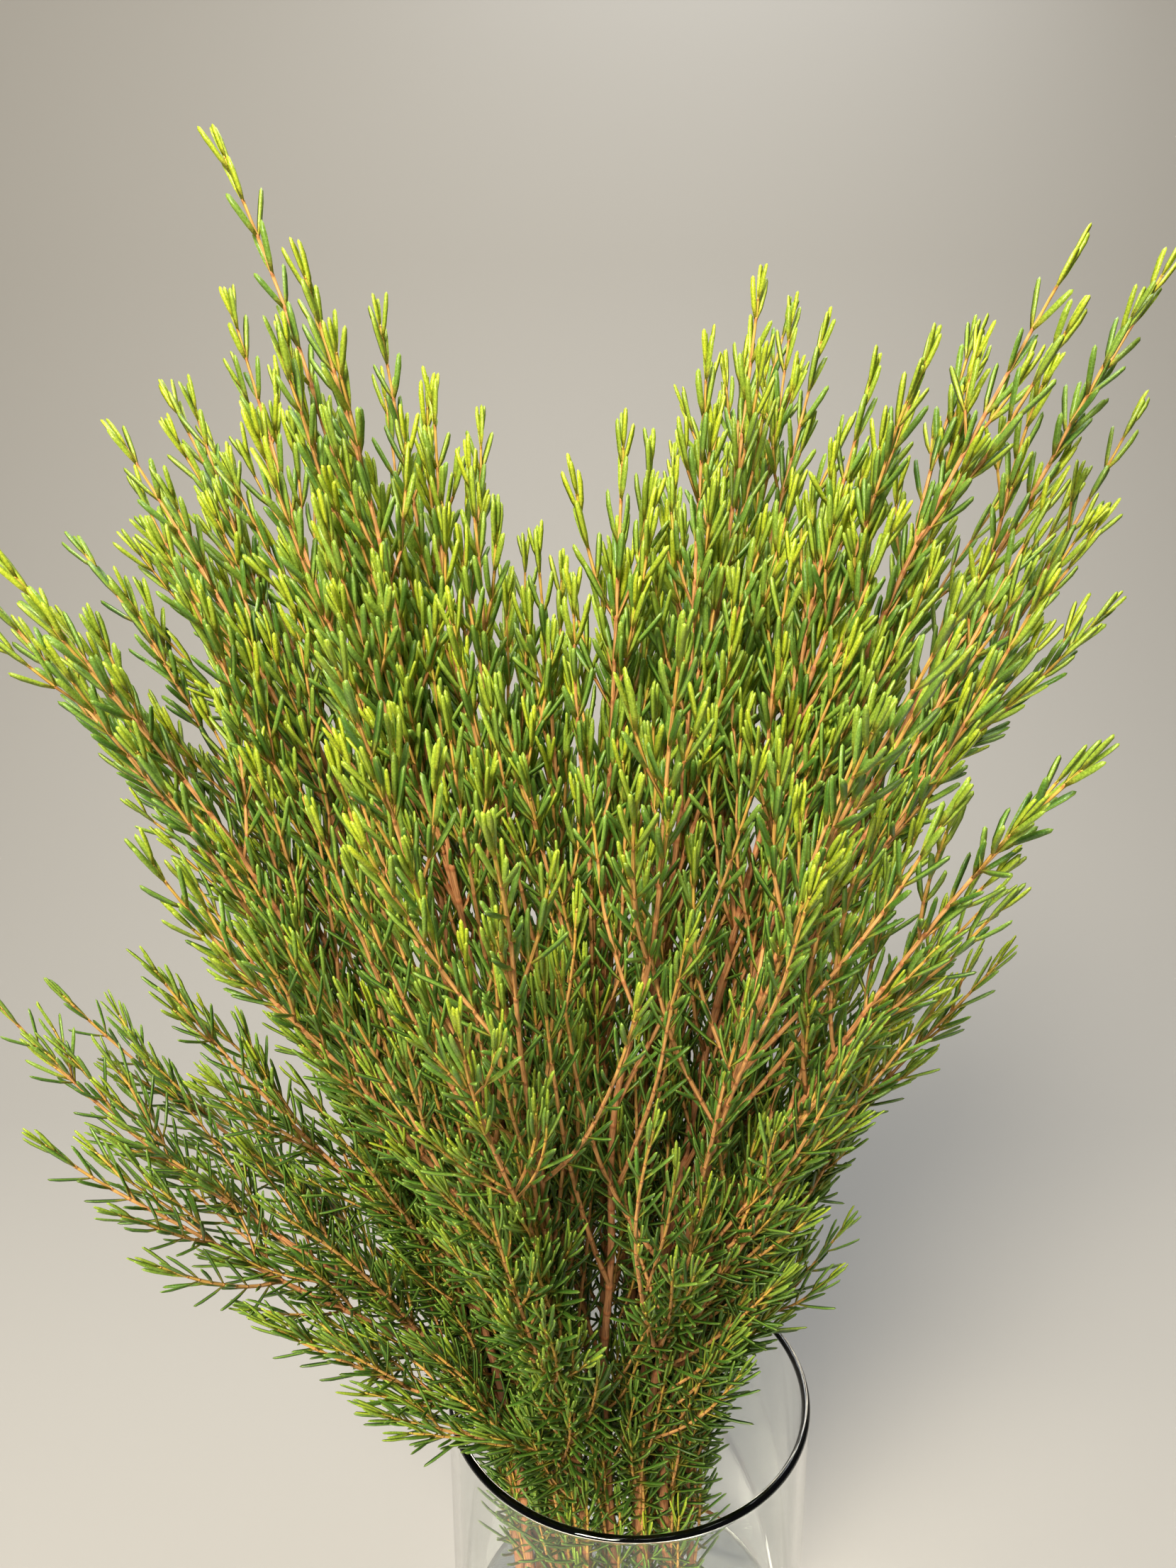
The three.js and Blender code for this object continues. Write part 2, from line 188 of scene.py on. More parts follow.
bpy.ops.mesh.bevel(offset=RIM_ROUND, segments=5)
foot_ring = FOOT_ROUND + RING_GAP
floor_ring = GLASS_BASE + INNER_ROUND + RING_GAP
rim_ring = GLASS_HEIGHT - RIM_ROUND - RING_GAP
for level in (foot_ring, floor_ring, rim_ring):
    bpy.ops.mesh.select_all(action="SELECT")
    bpy.ops.mesh.bisect(plane_co=(0, 0, level), plane_no=(0, 0, 1))
bpy.ops.object.mode_set(mode="OBJECT")
smooth_by_angle(vase, 40)

# Clear soda-lime glass, flame polished: IOR 1.52, no roughness and the faintest green cast.
glass, _, shader = new_material("clear_soda_lime_glass")
shader.inputs["Base Color"].default_value = linear("#FBFDFC")
shader.inputs["Transmission Weight"].default_value = 1
shader.inputs["IOR"].default_value = 1.52
shader.inputs["Roughness"].default_value = 0
vase.data.materials.append(glass)
vase.visible_shadow = False
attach(vase, "root")
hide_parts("vase")


# ---- Water ----
# Plain tap water up to a little under half the vase's height. It wets the glass, so its edge climbs
# the wall in a small meniscus. It overlaps the wall a hair, so that no air shows between the two.
WATER_LEVEL = 120 * MM
WATER_OVERLAP = 0.15 * MM
WATER_RADIUS = GLASS_RADIUS - GLASS_WALL + WATER_OVERLAP
MENISCUS_RISE = 1.1 * MM

deselect()
water_floor = GLASS_BASE - WATER_OVERLAP
bpy.ops.mesh.primitive_cylinder_add(
    vertices=GLASS_SIDES, radius=WATER_RADIUS, depth=WATER_LEVEL - water_floor,
    location=(0, 0, (WATER_LEVEL + water_floor) / 2))
water = bpy.context.object
water.name = "vase_water"
bpy.ops.object.transform_apply(location=True, rotation=True, scale=True)
bpy.ops.object.mode_set(mode="EDIT")
pick(water, "EDGE", lambda co: co.z < water_floor + MM)
bpy.ops.mesh.bevel(offset=INNER_ROUND, segments=5)
for level in (floor_ring, WATER_LEVEL - RING_GAP):
    bpy.ops.mesh.select_all(action="SELECT")
    bpy.ops.mesh.bisect(plane_co=(0, 0, level), plane_no=(0, 0, 1))
for step_in, lift in ((0.8 * MM, -0.62), (1.2 * MM, -0.28), (2 * MM, -0.1)):
    bpy.ops.mesh.select_mode(type="FACE")
    bpy.ops.mesh.select_all(action="DESELECT")
    shape = bmesh.from_edit_mesh(water.data)
    cap = max(shape.faces, key=lambda face: (round(face.normal.z, 3), len(face.verts)))
    cap.select_set(True)
    bmesh.update_edit_mesh(water.data)
    bpy.ops.mesh.inset(thickness=step_in)
    bpy.ops.transform.translate(value=(0, 0, lift * MENISCUS_RISE))
bpy.ops.object.mode_set(mode="OBJECT")
smooth_by_angle(water, 40)

clear_water, _, shader = new_material("clear_water")
shader.inputs["Base Color"].default_value = linear("#FCFEFD")
shader.inputs["Transmission Weight"].default_value = 1
shader.inputs["IOR"].default_value = 1.333
shader.inputs["Roughness"].default_value = 0
water.data.materials.append(clear_water)
water.visible_shadow = False
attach(water, "root")
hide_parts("water")


# ---- How the stems stand and branch ----
# Each stem rises straight out of the water, bends at the rim and flares out to its leading tip. Long
# arms and side shoots leave it at its knots. Sizes here are in millimetres, as the stems' are.
RIM = 250
FOOT_LEVEL = 10.6
NECK_CENTRE = np.array([-15.0, -5.0])
NECK_RADIUS = 42
NECK_SPACING = 8.6
NECK_POWER = 0.6
EASING_ROUNDS = 80
WIDEST_LEAN = 0.65
FOOT_SPREAD = 0.8
SHOULDER_LEVEL = 135
NECK_LEAN = 0.35
TIP_LEAN = 1.55
MOST_LEAN = 62
FOOT_GIRTH = 2.4
SHOULDER_GIRTH = 2.2
NECK_GIRTH = 2.0
LEAFY_GIRTH = 1.5
TIP_GIRTH = 0.9
KNOTS = 8
GROWTH_SEED = 1700
ARM_TURN = 0.8
ARM_TIP_LEAN = 0.85
SHOOT_ANGLE = 36
OUTWARD_HOLD = 0.75
CHORD_SHARE = 0.62
END_SHARE = 0.35
INWARD_LOSS = 0.4
HANGING_LOSS = 0.9
SHOOT_LONGEST = 175
SHOOT_SHORTEST = 55
SHOOT_KNOTS = (1, 2, 3, 4, 5)
SHOOT_ROOM = 0.8
ARM_STOUTNESS = 0.75
SHOOT_STOUTNESS = 0.6
VASE_BORE = 71.5
VASE_OUTSIDE = 75
SWINGS = (0, 20, -20, 40, -40, 65, -65, 95, -95, 130, -130, 165)

# A stem's leading tip, as x, y and rise above the rim, then its arms' tips, each with its knot.
STEMS = [
    [(-133, 10, 466), (-139, 34, 415, 3)],
    [(-102, -25, 426), (-115, -5, 410, 4)],
    [(-90, 35, 418), (-70, 16, 393, 3)],
    [(-55, -15, 369)],
    [(-178, 20, 377), (-158, 45, 392, 3)],
    [(-196, -35, 338), (-221, -40, 198, 0), (-163, -45, 210, 1)],
    [(-216, -20, 334), (-199, -60, 152, 0)],
    [(-34, 0, 341)],
    [(-6, -25, 377), (-44, -50, 301, 3), (5, 0, 372, 4)],
    [(39, 10, 424), (22, -12, 402, 3)],
    [(68, 50, 414), (58, 74, 424, 4)],
    [(89, -15, 403), (70, -5, 392, 3)],
    [(133, -10, 432), (118, 20, 400, 3)],
    [(171, 10, 431), (178, 34, 386, 3)],
    [(138, 0, 360), (170, 22, 318, 5)],
    [(123, -25, 226), (83, -10, 82, 0), (119, -45, 208, 3)],
    [(-79, -120, 325), (-132, -55, 77, 0), (-137, -100, 264, 2)],
    [(-40, -145, 289), (-94, -60, 43, 0), (-46, -105, 160, 0), (-48, -140, 236, 2)],
    [(6, -118, 330)],
    [(112, -110, 296)],
    [(68, -135, 340)],
    [(-179, 75, 394), (-187, 60, 361, 4)],
    [(-207, 45, 338), (-213, -5, 180, 0), (-214, 12, 310, 3)],
    [(-27, 140, 254)],
    [(63, 100, 425), (34, 92, 400, 4)],
    [(151, 80, 360)],
]


def draws(seed):
    """A repeatable run of numbers from 0 to 1."""
    state = seed
    while True:
        state = (state + 0x6D2B79F5) & 0xFFFFFFFF
        mixed = ((state ^ (state >> 15)) * (1 | state)) & 0xFFFFFFFF
        mixed = (mixed + (mixed ^ (mixed >> 7)) * (61 | mixed) ^ mixed) & 0xFFFFFFFF
        yield (mixed ^ (mixed >> 14)) / 4294967296


def unit(vector):
    return vector / np.linalg.norm(vector, axis=-1, keepdims=True)


def mix(a, b, share):
    return unit(a + (b - a) * share)


def square_to(direction):
    """Two directions square to a shoot, from which its leaves and side shoots are turned."""
    first = unit(np.cross(direction, (0.0, 1.0, 0.0)))
    return first, np.cross(direction, first)


def bezier(ends, steps):
    """Points along a cubic curve, from its two ends and the two handles between them."""
    t = np.linspace(0, 1, steps + 1)[:, None]
    a, b, c, d = ends
    return (1 - t) ** 3 * a + 3 * (1 - t) ** 2 * t * b + 3 * (1 - t) * t * t * c + t ** 3 * d


def neck_places():
    """Where the stems pass the rim: each to the side that its tip leans to, then eased apart."""
    necks = []
    for (x, y, rise), *_ in STEMS:
        lean = (np.array([x, y]) - NECK_CENTRE) / rise
        share = min(1, np.linalg.norm(lean) / WIDEST_LEAN) ** NECK_POWER
        necks.append(unit(lean) * NECK_RADIUS * share)
    for _ in range(EASING_ROUNDS):
        for i in range(len(necks)):
            for j in range(i):
                apart = necks[i] - necks[j]
                missing = NECK_SPACING - np.linalg.norm(apart)
                if missing > 0:
                    step = unit(apart) * missing / 2
                    necks[i] = necks[i] + step
                    necks[j] = necks[j] - step
    return necks


def leant(direction, factor):
    """The direction with its lean from upright made larger or smaller by a factor."""
    across = unit(np.array([direction[0], direction[1], 0.0]))
    lean = min(math.radians(MOST_LEAN), math.acos(direction[2]) * factor)
    return across * math.sin(lean) + np.array([0, 0, math.cos(lean)])


def stem_curves(tip_place, offset):
    """The foot, and the curves from the shoulder to the neck and from the neck to the tip."""
    x, y, rise = tip_place
    tip = np.array([x, y, RIM + rise], float)
    foot = np.array([*offset * FOOT_SPREAD, FOOT_LEVEL])
    neck = np.array([*NECK_CENTRE + offset, RIM])
    shoulder = (foot + neck) / 2
    shoulder[2] = SHOULDER_LEVEL
    upward = unit(shoulder - foot)
    leaning = mix(upward, unit(tip - neck), NECK_LEAN)
    reach = np.linalg.norm(neck - shoulder) / 3
    span = np.linalg.norm(tip - neck) / 3
    outward = leant(unit(tip - neck), TIP_LEAN)
    bend = (shoulder, shoulder + upward * reach, neck - leaning * reach, neck)
    rising = (neck, neck + leaning * span, tip - outward * span, tip)
    return foot, bend, rising


def arm_curve(knots, arm):
    x, y, rise, knot = arm
    start = knots[knot]
    tip = np.array([x, y, RIM + rise], float)
    straight = unit(tip - start)
    leaving = mix(unit(knots[knot + 1] - start), straight, ARM_TURN)
    rising = leant(straight, ARM_TIP_LEAN)
    third = np.linalg.norm(tip - start) / 3
    return (start, start + leaving * third, tip - rising * third, tip)


def side_curve(start, axis, azimuth, length, angle, losses=(INWARD_LOSS, HANGING_LOSS, 0)):
    """A side shoot: it leaves at an angle that closes towards its tip, like a broom's twigs.

    It loses length where it turns into the bunch's shade, hangs out below it, or leaves it."""
    first, second = square_to(axis)
    aside = first * math.cos(azimuth) + second * math.sin(azimuth)
    outward = unit(np.array([*start[:2] - NECK_CENTRE, 0]))
    held = 1 - OUTWARD_HOLD * max(0, aside @ outward)
    turns = (-(aside @ outward), -aside[2], aside @ outward)
    for loss, turn in zip(losses, turns):
        length = length * max(0, 1 - loss * max(0, turn))

    def lean(share):
        tilt = math.radians(angle * held * share)
        return axis * math.cos(tilt) + aside * math.sin(tilt)

    tip = start + lean(CHORD_SHARE) * length
    return (start, start + lean(1) * length / 3, tip - lean(END_SHARE) * length / 3, tip)


def taper(thick, thin, count):
    return np.linspace(thick, thin, count)


class Grown:
    """Straight pieces of all that has grown so far, to keep later growth clear of them."""

    def __init__(self):
        self.rows = []

    def record(self, owner, path, girths):
        for k in range(1, len(path)):
            self.rows.append((owner, *path[k - 1], *path[k], max(girths[k - 1], girths[k])))

    def is_clear(self, owner, path, girths):
        rows = np.array([row for row in self.rows if row[0] != owner])
        start, run, thick = rows[:, 1:4], rows[:, 4:7] - rows[:, 1:4], rows[:, 7]
        for k in range(1, len(path)):
            girth = max(girths[k - 1], girths[k])
            gaps = gaps_between(path[k - 1], path[k] - path[k - 1], start, run)
            if np.any(gaps < girth + thick + SHOOT_ROOM):
                return False
            spots = path[k - 1] + (path[k] - path[k - 1]) * np.linspace(0, 1, 5)[:, None]
            if not np.all(clear_of_glass(spots, girth + SHOOT_ROOM)):
                return False
        return True


def gaps_between(a, u, c, v):
    """Closest distances from one straight piece to many others."""
    w = a - c
    uu, uv, vv, uw, vw = u @ u, v @ u, (v * v).sum(1), w @ u, (w * v).sum(1)
    cross = uu * vv - uv * uv
    flat = cross <= 1e-9
    s = np.clip((uv * vw - vv * uw) / np.where(flat, 1, cross), 0, 1)
    s[flat] = 0
    t = np.clip((uv * s + vw) / vv, 0, 1)
    s = np.clip((uv * t - uw) / uu, 0, 1)
    return np.linalg.norm(a + u * s[:, None] - c - v * t[:, None], axis=1)


def clear_of_glass(spots, room):
    radius = np.hypot(spots[..., 0], spots[..., 1])
    beside = (radius < VASE_BORE - room) | (radius > VASE_OUTSIDE + room)
    return beside | (spots[..., 2] > RIM + room)


class Limb:
    """A stem, shoot or twig: its line as close points, and how stout it may be where it starts."""

    def __init__(self, stem, rank, line, stoutest):
        self.stem = stem
        self.rank = rank
        self.line = line
        self.marks = np.concatenate([[0], np.cumsum(np.linalg.norm(np.diff(line, axis=0), axis=1))])
        self.length = self.marks[-1]
        self.stoutest = stoutest

    def at(self, distance):
        """Points and directions at distances along the limb."""
        ahead = np.minimum(distance + 0.5, self.length)
        behind = np.maximum(distance - 0.5, 0)
        places = [np.stack([np.interp(d, self.marks, self.line[:, k]) for k in range(3)], -1)
                  for d in (distance, ahead, behind)]
        return places[0], unit(places[1] - places[2])

    def radius(self, distance):
        """The wood's radius, which depends on how much twig stands above it."""
        above = np.maximum(self.length - distance, 0)
        return np.minimum(TIP_RADIUS + RADIUS_GAIN * (above / GAIN_LENGTH) ** GAIN_POWER, self.stoutest)


grown = Grown()
necks = neck_places()
stems = []
for index, (tip_place, *arms) in enumerate(STEMS):
    foot, bend, rising = stem_curves(tip_place, necks[index])
    knots = bezier(rising, KNOTS)
    girths = [FOOT_GIRTH, SHOULDER_GIRTH, *taper(NECK_GIRTH, LEAFY_GIRTH, KNOTS + 1)[:-1], TIP_GIRTH]
    grown.record(index, [foot, bend[0], *knots], girths)
    stems.append({"foot": foot, "bend": bend, "rising": rising, "knots": knots, "girths": girths[2:],
                  "arms": arms, "shoots": []})


def shoot_girths(thick, count):
    return [*taper(thick, LEAFY_GIRTH, count - 1), TIP_GIRTH]


for index, stem in enumerate(stems):
    for arm in stem["arms"]:
        curve = arm_curve(stem["knots"], arm)
        grown.record(index, bezier(curve, 4), shoot_girths(ARM_STOUTNESS * stem["girths"][arm[3]], 5))
        stem["shoots"].append({"curve": curve, "knot": arm[3], "arm": True})

for index, stem in enumerate(stems):
    random = draws(GROWTH_SEED + index)
    stem["turn"] = next(random) * 2 * math.pi
    knots = stem["knots"]
    reach = np.linalg.norm(knots[0] - knots[-1])
    for knot in SHOOT_KNOTS:
        if stem["arms"] and knot == SHOOT_KNOTS[-1]:
            continue
        wanted = (0.6 + 0.25 * next(random)) * reach * (1 - knot / KNOTS) + 15
        length = min(SHOOT_LONGEST, max(SHOOT_SHORTEST, wanted))
        angle = SHOOT_ANGLE + 10 * (next(random) - 0.5)
        axis = unit(knots[knot + 1] - knots[knot])
        girths = shoot_girths(SHOOT_STOUTNESS * stem["girths"][knot], 4)
        for swing in SWINGS:
            azimuth = stem["turn"] + math.radians(90 * knot + swing)
            curve = side_curve(knots[knot], axis, azimuth, length, angle)
            path = bezier(curve, 3)
            if grown.is_clear(index, path, girths):
                grown.record(index, path, girths)
                stem["shoots"].append({"curve": curve, "knot": knot, "arm": False, "azimuth": azimuth,
                                       "length": length, "angle": angle, "axis": axis})
                break


# ---- Finer growth ----
# Waxflower branches in opposite pairs, each pair a quarter turn on from the last. So most shoots get
# a shorter partner across the stem, more stand between the knots, and the long ones branch again. One
# stem in front shows its bare trunk, and the tallest leader stands alone.
TWIG_SEED = 4100
TIP_RADIUS = 0.42
RADIUS_GAIN = 0.19
GAIN_LENGTH = 60
GAIN_POWER = 1.05
STOUTEST = 2.1
CHILD_STOUTNESS = 0.8
LINE_STEPS = 24
STEPS_A_KNOT = 8
MAIN_STEPS = STEPS_A_KNOT * KNOTS
WANDER = 0.007
BARE_STEM = 18
BARE_TO_KNOT = 5
BARE_FROM = 300
CLEAR_VIEW = 6.5
IN_FRONT = 4
HALF_KNOTS = (1.5, 2.5, 3.5, 4.5, 5.5, 6.3, 6.9)
LONE_LEADER = 0
LONE_FROM = 6
LONE_REACH = 0.6
PAIR_LONGEST = 170
PAIR_REACH = 0.95
PAIR_SHARES = (0.7, 1.0)
PARTNER_SHARES = (0.55, 0.9)
PAIRED_SHARE = 0.65
PAIR_TURN = 0.3
PAIR_ANGLES = (0.8, 1.15)
ARM_PAIRS = (0.2, 0.36, 0.52, 0.68, 0.82)
ARM_PAIR_REACH = 0.62
ARM_PAIR_SHARES = (0.75, 1.05)
ARM_PAIR_LEAST = 8
HIGH_TWIG_SPACING = 42
LOW_TWIG_SPACING = 19
TWIG_SHORTEST = 26
TWIG_LEAST = 14
TWIG_SHARES = (0.45, 0.85)
FIRST_TWIG = (0.3, 0.8)
LAST_TWIG = 1.6
TWIG_TURN = 0.4
TWIG_ANGLES = (0.75, 1.25)
TWIG_GAPS = (0.8, 1.25)
TWIG_LOSSES = (0.45, 1.15, 0.3)
NECK_LOSSES = (0.2, 0.6, 0)
LOW_TWIG_LONGEST = 66
TWIG_LONGEST = 120
HIGH_TWIG_ANGLE = 28
LOW_TWIG_ANGLE = 38
SHADE_TOP = 480
SHADE_BASE = 26
SHADE_SPREAD = 0.36
NECK_RISES = (-100, -78, -58, -40, -24, -10, 4, 18, 32, 46, 60, 76, 94)
INNER_TWIG_ANGLE = 36
OUTER_TWIG_ANGLE = 92
HIDDEN_NECK = 9
NECK_TWIG_LENGTHS = (38, 76)
NECK_TURN = 0.9
NECK_RISE_SHARES = (0.9, 1.1)
NECK_ANGLES = (0.85, 1.2)
NECK_SPREADS_OVER = 60
TWIG_BORE = 68
RIM_ROOM = 3
HIGH = 640
LOW = 250

limbs = []
bare_trunk = bezier(stems[BARE_STEM]["rising"], MAIN_STEPS)
below_knot = np.arange(len(bare_trunk)) < STEPS_A_KNOT * BARE_TO_KNOT
bare_trunk = bare_trunk[(bare_trunk[:, 2] > BARE_FROM) & below_knot]


def smooth(value):
    value = np.clip(value, 0, 1)
    return value * value * (3 - 2 * value)


def height_share(z):
    """0 at the vase's rim and 1 in the crown of the bunch."""
    return smooth((z - LOW) / (HIGH - LOW))


def wandered(line, random):
    """The line with a slight sway between its ends, as a twig bends a little at its knots."""
    length = np.linalg.norm(line[-1] - line[0])
    share = np.linspace(0, 1, len(line))[:, None]
    for waves in (1, 2, 3, 5):
        line = line + random.normal(0, WANDER / waves, 3) * length * np.sin(math.pi * waves * share)
    return line


def hides_trunk(line):
    """Whether a twig crosses in front of the bare trunk, as seen from the front of the bunch."""
    eye = np.array(EYE) / MM
    sight = eye - bare_trunk
    far = np.linalg.norm(sight, axis=1)
    from_trunk = line[:, None] - bare_trunk
    along = (from_trunk * sight).sum(-1) / far
    off = np.sqrt(np.maximum((from_trunk ** 2).sum(-1) - along ** 2, 0)) * far / np.maximum(far - along, 1)
    return np.any((off < CLEAR_VIEW) & (along > IN_FRONT))


def add_limb(stem, rank, curve, stoutest, random):
    """A new limb along a curve, unless it would run into the glass or hide the bare trunk."""
    line = wandered(bezier(curve, LINE_STEPS), random)
    under_rim = line[:, 2] < RIM + RIM_ROOM
    radius = np.hypot(line[:, 0], line[:, 1])
    if np.any(under_rim & (radius > TWIG_BORE)) or (rank > 1 and hides_trunk(line)):
        return None
    limb = Limb(stem, rank, line, stoutest)
    limbs.append(limb)
    return limb


def add_twigs(parent, distance, azimuth, lengths, angle, rank, random):
    """One or two opposite twigs that leave the parent limb at a distance along it."""
    (start,), (axis,) = parent.at(np.array([distance]))
    found = []
    for side, length in enumerate(lengths):
        turned = azimuth + math.pi * side
        curve = side_curve(start, axis, turned, length, angle, NECK_LOSSES if rank == 4 else TWIG_LOSSES)
        if np.linalg.norm(curve[3] - curve[0]) < TWIG_LEAST:
            continue
        stoutest = CHILD_STOUTNESS * parent.radius(distance)
        limb = add_limb(parent.stem, rank, curve, stoutest, random)
        if limb is not None:
            found.append(limb)
    return found


def is_shaded(place):
    """Whether a place lies deep inside the lower bunch, where twigs die for want of light."""
    inside = np.hypot(*(place[:2] - NECK_CENTRE)) < SHADE_BASE + SHADE_SPREAD * (place[2] - RIM)
    return inside and place[2] < SHADE_TOP


def branch_again(parent, random):
    """Twigs along a shoot: long and steep high up, short, many and spread low down."""
    turn = random.uniform(0, math.tau)
    high = height_share(parent.line[LINE_STEPS // 2, 2])
    spacing = LOW_TWIG_SPACING + (HIGH_TWIG_SPACING - LOW_TWIG_SPACING) * high
    distance = spacing * random.uniform(*FIRST_TWIG)
    while parent.length - distance > LAST_TWIG * TWIG_SHORTEST:
        left = parent.length - distance
        sides = 2 if random.uniform() < PAIRED_SHARE else 1
        longest = LOW_TWIG_LONGEST + (TWIG_LONGEST - LOW_TWIG_LONGEST) * high
        reaches = [left * random.uniform(*TWIG_SHARES) for _ in range(sides)]
        lengths = [max(TWIG_SHORTEST, min(longest, reach)) for reach in reaches]
        turn += math.pi / 2 + random.uniform(-TWIG_TURN, TWIG_TURN)
        angle = LOW_TWIG_ANGLE + (HIGH_TWIG_ANGLE - LOW_TWIG_ANGLE) * high
        angle = angle * random.uniform(*TWIG_ANGLES)
        if not is_shaded(parent.at(np.array([distance]))[0][0]):
            add_twigs(parent, distance, turn, lengths, angle, 3, random)
        distance += spacing * random.uniform(*TWIG_GAPS)


for index, stem in enumerate(stems):
    random = np.random.default_rng(TWIG_SEED + index)
    lower = np.array([stem["foot"] + (stem["bend"][0] - stem["foot"]) * t for t in np.linspace(0, 1, 9)])
    bend = bezier(stem["bend"], 12)
    rising = wandered(bezier(stem["rising"], MAIN_STEPS), random)
    main = Limb(index, 0, np.concatenate([lower[:-1], bend[:-1], rising]), STOUTEST)
    rising_marks = main.marks[-len(rising):]
    main.neck = rising_marks[0]
    limbs.append(main)
    branching = [main]
    bare = BARE_TO_KNOT if index == BARE_STEM else 0
    for shoot in stem["shoots"]:
        step = shoot["knot"] * STEPS_A_KNOT
        shift = rising[step] - stem["knots"][shoot["knot"]]
        stoutest = CHILD_STOUTNESS * main.radius(rising_marks[step])
        limb = add_limb(index, 1, [point + shift for point in shoot["curve"]], stoutest, random)
        if limb is None:
            continue
        branching.append(limb)
        if shoot["arm"]:
            turn = random.uniform(0, math.tau)
            for k, share in enumerate(ARM_PAIRS):
                distance = share * limb.length
                longest = min(PAIR_LONGEST, ARM_PAIR_REACH * (limb.length - distance) + ARM_PAIR_LEAST)
                lengths = [longest * random.uniform(*ARM_PAIR_SHARES) for _ in range(2)]
                azimuth = turn + math.pi / 2 * k + random.uniform(-PAIR_TURN, PAIR_TURN)
                branching.extend(add_twigs(limb, distance, azimuth, lengths, SHOOT_ANGLE, 2, random))
            continue
        if shoot["knot"] < bare:
            continue
        length = shoot["length"] * random.uniform(*PARTNER_SHARES)
        curve = side_curve(rising[step], shoot["axis"], shoot["azimuth"] + math.pi, length, shoot["angle"])
        partner = add_limb(index, 2, curve, stoutest, random)
        if partner is not None:
            branching.append(partner)
    for half in HALF_KNOTS:
        if half < bare or (index == LONE_LEADER and half > LONE_FROM):
            continue
        distance = rising_marks[int(half * MAIN_STEPS / KNOTS)]
        left = main.length - distance
        sides = 2 if random.uniform() < PAIRED_SHARE else 1
        longest = min(PAIR_LONGEST, (LONE_REACH if index == LONE_LEADER else PAIR_REACH) * left)
        lengths = [longest * random.uniform(*PAIR_SHARES) for _ in range(sides)]
        azimuth = stem["turn"] + math.pi / 2 * (half + 0.5) + random.uniform(-PAIR_TURN, PAIR_TURN)
        angle = SHOOT_ANGLE * random.uniform(*PAIR_ANGLES)
        branching.extend(add_twigs(main, distance, azimuth, lengths, angle, 2, random))
    for limb in branching[1:]:
        branch_again(limb, random)
    if np.linalg.norm(necks[index]) < HIDDEN_NECK:
        continue
    for k, rise in enumerate(NECK_RISES):
        distance = main.neck + rise * random.uniform(*NECK_RISE_SHARES)
        (start,), (axis,) = main.at(np.array([distance]))
        first, second = square_to(axis)
        azimuth = math.atan2(second @ [*unit(necks[index]), 0], first @ [*unit(necks[index]), 0])
        azimuth = azimuth + random.uniform(-NECK_TURN, NECK_TURN)
        opened = smooth((rise + NECK_SPREADS_OVER) / NECK_SPREADS_OVER)
        angle = INNER_TWIG_ANGLE + (OUTER_TWIG_ANGLE - INNER_TWIG_ANGLE) * opened
        angle = angle * random.uniform(*NECK_ANGLES)
        add_twigs(main, distance, azimuth, [random.uniform(*NECK_TWIG_LENGTHS)], angle, 4, random)


# ---- Leaf pairs ----
# Leaves stand in opposite pairs, each pair a quarter turn on from the last. They crowd at the growing
# tips, lie close to the twig high up, and spread wide on the shaded twigs round the vase's neck.
LEAF_SEED = 7300
LEAF_LENGTH = 13.8
LEAF_WIDTH = 1.5
LEAF_THICKNESS = 1.12
LEADER_SPACING = 12.8
HIGH_SPACING = 10.6
LOW_SPACING = 4.5
TIP_SPACING = 4.6
SPACING_GAIN = 1.5
CROWDING = (0.7, 1.15)
BARE_PAST = 150


def node_distances(limb, random):
    """Distances from the limb's tip to its leaf pairs."""
    (tip,), _ = limb.at(np.array([limb.length]))
    highest = LEADER_SPACING if limb.rank < 2 else HIGH_SPACING
    widest = LOW_SPACING + (highest - LOW_SPACING) * height_share(tip[2])
    most = min(BARE_PAST, limb.length - 4)
    found = [1.0]
    crowding = random.uniform(*CROWDING)
    while found[-1] < most:
        crowded = (TIP_SPACING + SPACING_GAIN * found[-1]) * crowding
        step = min(widest, crowded) * random.uniform(0.85, 1.15)
        found.append(found[-1] + step)
    return np.array(found[:-1])


for number, limb in enumerate(limbs):
    limb.random = np.random.default_rng([LEAF_SEED, number])
    limb.pairs = node_distances(limb, limb.random)


# ---- Woody stems and twigs ----
# Young twigs are yellow green, then pale orange, and turn to tan bark with fine lengthwise cracks. Each
# pair of leaves stands on a swollen brown joint, which stays on the bare wood. One stem is all one
# growth.
SIDES = {0: 8, 1: 6, 2: 4, 3: 3, 4: 3}
ROUND_RANKS = (0, 1)
SWELLING = 0.2
BARE_JOINT_GAP = 13.0
OLD_WOOD = 260


def ring_plan(limb):
    """Distances of the limb's rings, their radii, and a count of its joints that is whole at each one."""
    leafy = limb.length - limb.pairs[::-1]
    bare = np.arange(leafy[0] - BARE_JOINT_GAP, 0, -BARE_JOINT_GAP)[::-1]
    joints = np.concatenate([bare, leafy])
    marks = np.concatenate([[0], joints, [limb.length]])
    if limb.rank in ROUND_RANKS:
        marks = np.sort(np.concatenate([marks, (joints[1:] + joints[:-1]) / 2]))
    marks = marks[np.concatenate([[True], np.diff(marks) > 0.4])]
    count = np.interp(marks, joints, np.arange(len(joints)), left=-0.5, right=len(joints) - 0.5)
    swell = np.isin(marks, joints)
    radius = limb.radius(marks) * (1 + SWELLING * swell)
    return marks, radius, count


